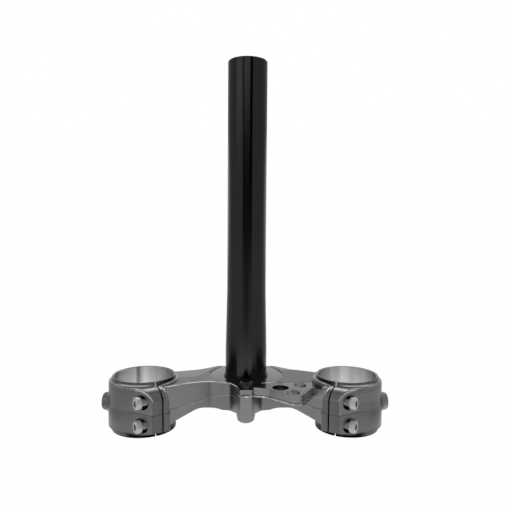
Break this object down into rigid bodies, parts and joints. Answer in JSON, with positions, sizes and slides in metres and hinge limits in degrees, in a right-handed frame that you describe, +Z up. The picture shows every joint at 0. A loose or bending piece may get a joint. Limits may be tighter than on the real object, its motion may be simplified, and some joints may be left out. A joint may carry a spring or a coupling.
{
  "type": "motorcycle bottom triple clamp",
  "caption": "Forged grey bottom triple clamp with split fork rings, pinch bolts, a side plate with holes and a tall black hollow steering stem.",
  "frame": {"origin": "on the steering stem axis, at the plane of the machined spot face under the lower bearing", "axes": "+Z up along the stem, X across the two fork legs, -Y towards the front of the motorcycle"},
  "size_m": [0.1976, 0.0768, 0.2555],
  "materials": {
    "clamp_grey": "bead-blasted, dark grey hard anodised; bores bare machined",
    "stem_black": "turned, satin black anodised",
    "bolt_zinc": "bright zinc plated, knurled head",
    "screw_black": "black oxide, knurled head"
  },
  "bodies": {
    "root": {"triple_clamp_body": "clamp_grey", "steering_stem": "stem_black", "pinch_bolt_left_upper": "bolt_zinc", "pinch_bolt_left_lower": "bolt_zinc", "pinch_bolt_right_upper": "bolt_zinc", "pinch_bolt_right_lower": "bolt_zinc", "boss_screw": "screw_black"}
  },
  "joints": []
}
